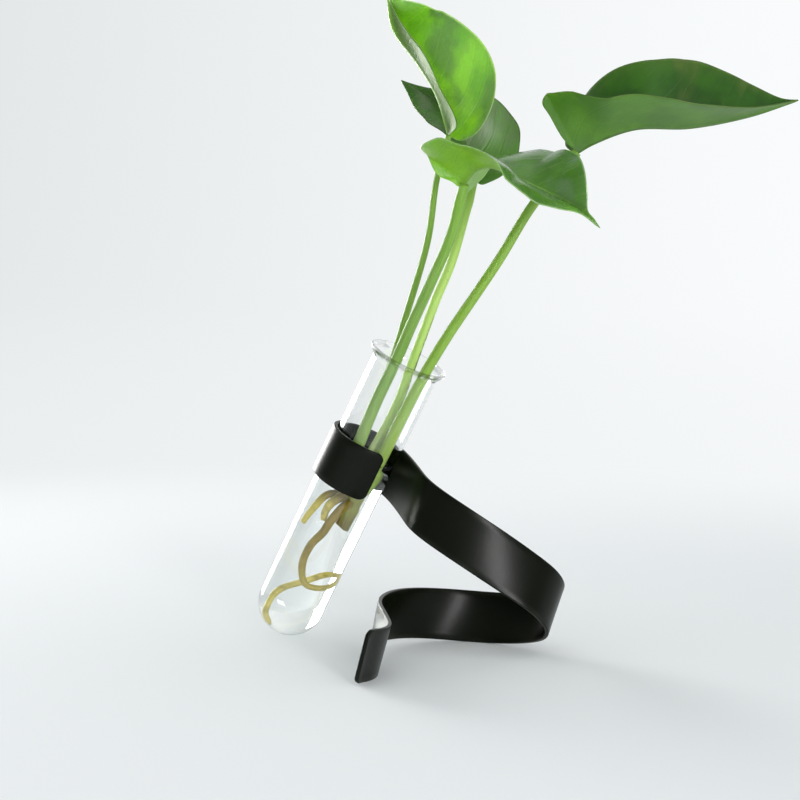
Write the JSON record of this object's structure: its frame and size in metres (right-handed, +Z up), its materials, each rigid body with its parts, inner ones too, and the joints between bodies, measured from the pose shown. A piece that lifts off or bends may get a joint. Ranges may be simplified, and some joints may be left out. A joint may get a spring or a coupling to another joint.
{
  "type": "hydroponic test tube vase",
  "caption": "Leaning glass test tube vase in a black flat steel strip bent to a ring and a spiral base, with water and a rooted pothos cutting.",
  "frame": {"origin": "on the table, under the middle of the whole outline", "axes": "+Z up, +X to the right of the pictured front, +Y to the back; the tube leans to the right and a little forward"},
  "size_m": [0.1888, 0.0984, 0.2323],
  "materials": {
    "black_steel": "satin black powder coat with a fine grain",
    "clear_glass": "clear polished glass",
    "water": "clear water",
    "stalk": "smooth green stalk with a soft sheen",
    "leaf": "waxy green leaf, darker above than below",
    "root": "smooth wet root, olive brown to pale yellow"
  },
  "bodies": {
    "holder": {"spiral_holder": "black_steel"},
    "tube": {"glass_tube": "clear_glass", "water": "water"},
    "plant": {"stem": "stalk", "petiole_1": "stalk", "petiole_2": "stalk", "petiole_3": "stalk", "petiole_4": "stalk", "root_nub": "root", "root_long": "root", "root_side": "root", "leaf_1": "leaf", "leaf_2": "leaf", "leaf_3": "leaf", "leaf_4": "leaf"}
  },
  "joints": [
    {"name": "tube_lift", "type": "slide", "parent": "holder", "child": "tube", "axis": [0.4016, -0.159, 0.9019], "range_m": [0, 0.09]},
    {"name": "plant_lift", "type": "slide", "parent": "tube", "child": "plant", "axis": [0.4016, -0.159, 0.9019], "range_m": [0, 0.12], "deforming": ["water"]}
  ]
}
